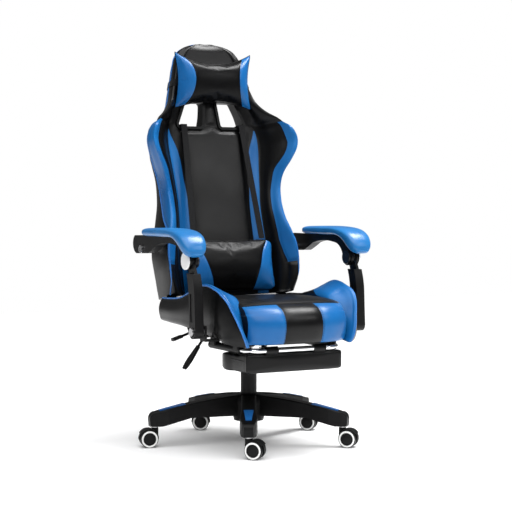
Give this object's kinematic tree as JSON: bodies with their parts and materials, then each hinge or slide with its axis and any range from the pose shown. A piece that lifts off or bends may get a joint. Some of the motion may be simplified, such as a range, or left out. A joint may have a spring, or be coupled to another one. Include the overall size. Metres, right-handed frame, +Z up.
{
  "type": "gaming chair",
  "caption": "Racing style swivel chair on casters with a reclining winged back, linked armrests, head and lumbar pillows and a pull-out footrest.",
  "frame": {"origin": "on the floor under the column axis", "axes": "+Z up, the sitter faces -Y, the sitter's left is +X"},
  "size_m": [0.6738, 0.6756, 1.2498],
  "materials": {
    "black_nylon": "moulded nylon, fine grain",
    "blue_trim": "blue moulded insert",
    "steel": "plated steel",
    "black_metal": "black powder coat",
    "black_plastic": "moulded plastic",
    "black_cover": "coated fabric with a leather grain over foam, black with blue panels",
    "black_webbing": "woven band",
    "blue_pad": "blue cover over foam",
    "white_plastic": "white cap on a pin",
    "chrome_tube": "chrome plated tube",
    "wheel_plastic": "black nylon wheel with a white ring"
  },
  "bodies": {
    "base": {"star_base": "black_nylon", "leg_inserts": "blue_trim", "caster_stems": "steel", "column_tube": "black_metal", "guide_bush": "black_plastic", "thrust_bearing": "steel"},
    "rod": {"piston_rod": "steel"},
    "lift": {"gas_cylinder": "steel", "mechanism_body": "black_metal", "tilt_pin": "steel", "tilt_spring": "steel"},
    "button": {"release_button": "steel"},
    "lift_lever": {"lift_lever": "black_metal", "lift_lever_grip": "black_plastic"},
    "knob": {"tension_knob": "black_plastic"},
    "seat": {"seat_plate": "black_metal", "seat_bolts": "steel", "seat_frame": "black_metal", "seat_cushion": "black_cover", "recliner_seat_plates": "black_metal", "recline_pins": "steel", "arm_lower_bolts": "steel", "footrest_guides": "black_metal"},
    "backrest": {"back_frame": "black_metal", "recliner_back_plates": "black_metal", "backrest_cushion": "black_cover", "opening_bezels": "black_plastic", "head_pillow": "black_cover", "lumbar_pillow": "black_cover", "pillow_straps": "black_webbing", "arm_rear_bolts": "steel"},
    "recline_release": {"release_shaft": "steel", "lock_pawls": "black_metal", "recline_lever": "black_metal"},
    "footrest_frame": {"footrest_frame": "chrome_tube"},
    "footrest_pad": {"footrest_pad": "black_cover", "footrest_brackets": "black_plastic"},
    "arm_upright_left": {"arm_upright_left": "black_plastic"},
    "arm_link_left": {"arm_link_left": "black_plastic", "arm_pad_left": "blue_pad", "arm_pivot_left": "white_plastic"},
    "arm_upright_right": {"arm_upright_right": "black_plastic"},
    "arm_link_right": {"arm_link_right": "black_plastic", "arm_pad_right": "blue_pad", "arm_pivot_right": "white_plastic"},
    "caster_1": {"caster_1_housing": "black_nylon"},
    "caster_1_wheel_left": {"caster_1_wheel_left": "wheel_plastic"},
    "caster_1_wheel_right": {"caster_1_wheel_right": "wheel_plastic"},
    "caster_2": {"caster_2_housing": "black_nylon"},
    "caster_2_wheel_left": {"caster_2_wheel_left": "wheel_plastic"},
    "caster_2_wheel_right": {"caster_2_wheel_right": "wheel_plastic"},
    "caster_3": {"caster_3_housing": "black_nylon"},
    "caster_3_wheel_left": {"caster_3_wheel_left": "wheel_plastic"},
    "caster_3_wheel_right": {"caster_3_wheel_right": "wheel_plastic"},
    "caster_4": {"caster_4_housing": "black_nylon"},
    "caster_4_wheel_left": {"caster_4_wheel_left": "wheel_plastic"},
    "caster_4_wheel_right": {"caster_4_wheel_right": "wheel_plastic"},
    "caster_5": {"caster_5_housing": "black_nylon"},
    "caster_5_wheel_left": {"caster_5_wheel_left": "wheel_plastic"},
    "caster_5_wheel_right": {"caster_5_wheel_right": "wheel_plastic"}
  },
  "joints": [
    {"name": "seat_swivel", "type": "hinge", "parent": "base", "child": "rod", "pos_m": [0, 0, 0.1], "axis": [0, 0, 1], "continuous": true},
    {"name": "seat_lift", "type": "slide", "parent": "rod", "child": "lift", "axis": [0, 0, 1], "range_m": [0, 0.08]},
    {"name": "seat_tilt", "type": "hinge", "parent": "lift", "child": "seat", "pos_m": [0, -0.055, 0.342], "axis": [-1, 0, 0], "range_deg": [0, 12], "stiffness_Nm_per_rad": 150, "springref_deg": -20.05, "deforming": ["tilt_spring"]},
    {"name": "back_recline", "type": "hinge", "parent": "seat", "child": "backrest", "pos_m": [0, 0.12, 0.394], "axis": [-1, 0, 0], "range_deg": [0, 40]},
    {"name": "recline_lever_turn", "type": "hinge", "parent": "seat", "child": "recline_release", "pos_m": [0, 0.069, 0.375], "axis": [1, 0, 0], "range_deg": [0, 12], "stiffness_Nm_per_rad": 2, "springref_deg": -17.19},
    {"name": "lift_lever_turn", "type": "hinge", "parent": "lift", "child": "lift_lever", "pos_m": [-0.052, 0, 0.3415], "axis": [0, 1, 0], "range_deg": [0, 6], "stiffness_Nm_per_rad": 3, "springref_deg": -5.73},
    {"name": "release_press", "type": "slide", "parent": "lift", "child": "button", "axis": [0, 0, -1], "range_m": [0, 0.0055]},
    {"name": "tension_turn", "type": "hinge", "parent": "seat", "child": "knob", "pos_m": [0, -0.092, 0.265], "axis": [0, 0, 1], "range_deg": [0, 720]},
    {"name": "footrest_slide", "type": "slide", "parent": "seat", "child": "footrest_frame", "axis": [0, -1, 0], "range_m": [0, 0.15]},
    {"name": "footrest_flip", "type": "hinge", "parent": "footrest_frame", "child": "footrest_pad", "pos_m": [0, -0.29, 0.316], "axis": [-1, 0, 0], "range_deg": [0, 180]},
    {"name": "arm_swing_left", "type": "hinge", "parent": "seat", "child": "arm_upright_left", "pos_m": [0.276, -0.195, 0.37], "axis": [-1, 0, 0], "range_deg": [0, 40]},
    {"name": "arm_level_left", "type": "hinge", "parent": "arm_upright_left", "child": "arm_link_left", "pos_m": [0.276, -0.155, 0.575], "axis": [-1, 0, 0], "range_deg": [-40, 0]},
    {"name": "arm_swing_right", "type": "hinge", "parent": "seat", "child": "arm_upright_right", "pos_m": [-0.276, -0.195, 0.37], "axis": [-1, 0, 0], "range_deg": [0, 40]},
    {"name": "arm_level_right", "type": "hinge", "parent": "arm_upright_right", "child": "arm_link_right", "pos_m": [-0.276, -0.155, 0.575], "axis": [-1, 0, 0], "range_deg": [-40, 0]},
    {"name": "caster_1_swivel", "type": "hinge", "parent": "base", "child": "caster_1", "pos_m": [-0.14177, -0.26439, 0.05], "axis": [0, 0, 1], "continuous": true},
    {"name": "caster_1_roll_left", "type": "hinge", "parent": "caster_1", "child": "caster_1_wheel_left", "pos_m": [-0.12838, -0.27925, 0.027], "axis": [-0.7431, -0.6691, 0], "continuous": true},
    {"name": "caster_1_roll_right", "type": "hinge", "parent": "caster_1", "child": "caster_1_wheel_right", "pos_m": [-0.12838, -0.27925, 0.027], "axis": [-0.7431, -0.6691, 0], "continuous": true},
    {"name": "caster_2_swivel", "type": "hinge", "parent": "base", "child": "caster_2", "pos_m": [0.20764, -0.21653, 0.05], "axis": [0, 0, 1], "continuous": true},
    {"name": "caster_2_roll_left", "type": "hinge", "parent": "caster_2", "child": "caster_2_wheel_left", "pos_m": [0.22103, -0.23139, 0.027], "axis": [-0.7431, -0.6691, 0], "continuous": true},
    {"name": "caster_2_roll_right", "type": "hinge", "parent": "caster_2", "child": "caster_2_wheel_right", "pos_m": [0.22103, -0.23139, 0.027], "axis": [-0.7431, -0.6691, 0], "continuous": true},
    {"name": "caster_3_swivel", "type": "hinge", "parent": "base", "child": "caster_3", "pos_m": [0.2701, 0.13057, 0.05], "axis": [0, 0, 1], "continuous": true},
    {"name": "caster_3_roll_left", "type": "hinge", "parent": "caster_3", "child": "caster_3_wheel_left", "pos_m": [0.28424, 0.11643, 0.027], "axis": [-0.7071, -0.7071, 0], "continuous": true},
    {"name": "caster_3_roll_right", "type": "hinge", "parent": "caster_3", "child": "caster_3_wheel_right", "pos_m": [0.28424, 0.11643, 0.027], "axis": [-0.7071, -0.7071, 0], "continuous": true},
    {"name": "caster_4_swivel", "type": "hinge", "parent": "base", "child": "caster_4", "pos_m": [-0.04072, 0.29722, 0.05], "axis": [0, 0, 1], "continuous": true},
    {"name": "caster_4_roll_left", "type": "hinge", "parent": "caster_4", "child": "caster_4_wheel_left", "pos_m": [-0.02339, 0.28722, 0.027], "axis": [-0.5, -0.866, 0], "continuous": true},
    {"name": "caster_4_roll_right", "type": "hinge", "parent": "caster_4", "child": "caster_4_wheel_right", "pos_m": [-0.02339, 0.28722, 0.027], "axis": [-0.5, -0.866, 0], "continuous": true},
    {"name": "caster_5_swivel", "type": "hinge", "parent": "base", "child": "caster_5", "pos_m": [-0.29526, 0.05312, 0.05], "axis": [0, 0, 1], "continuous": true},
    {"name": "caster_5_roll_left", "type": "hinge", "parent": "caster_5", "child": "caster_5_wheel_left", "pos_m": [-0.31466, 0.05796, 0.027], "axis": [0.2419, 0.9703, 0], "continuous": true},
    {"name": "caster_5_roll_right", "type": "hinge", "parent": "caster_5", "child": "caster_5_wheel_right", "pos_m": [-0.31466, 0.05796, 0.027], "axis": [0.2419, 0.9703, 0], "continuous": true}
  ],
  "couplings": [
    {"joint": "release_press", "follows": "lift_lever_turn", "m_per_rad": 0.052},
    {"joint": "footrest_flip", "follows": "footrest_slide", "rad_per_m": 20.94},
    {"joint": "arm_swing_left", "follows": "back_recline", "ratio": 1},
    {"joint": "arm_level_left", "follows": "back_recline", "ratio": -1},
    {"joint": "arm_swing_right", "follows": "back_recline", "ratio": 1},
    {"joint": "arm_level_right", "follows": "back_recline", "ratio": -1}
  ]
}
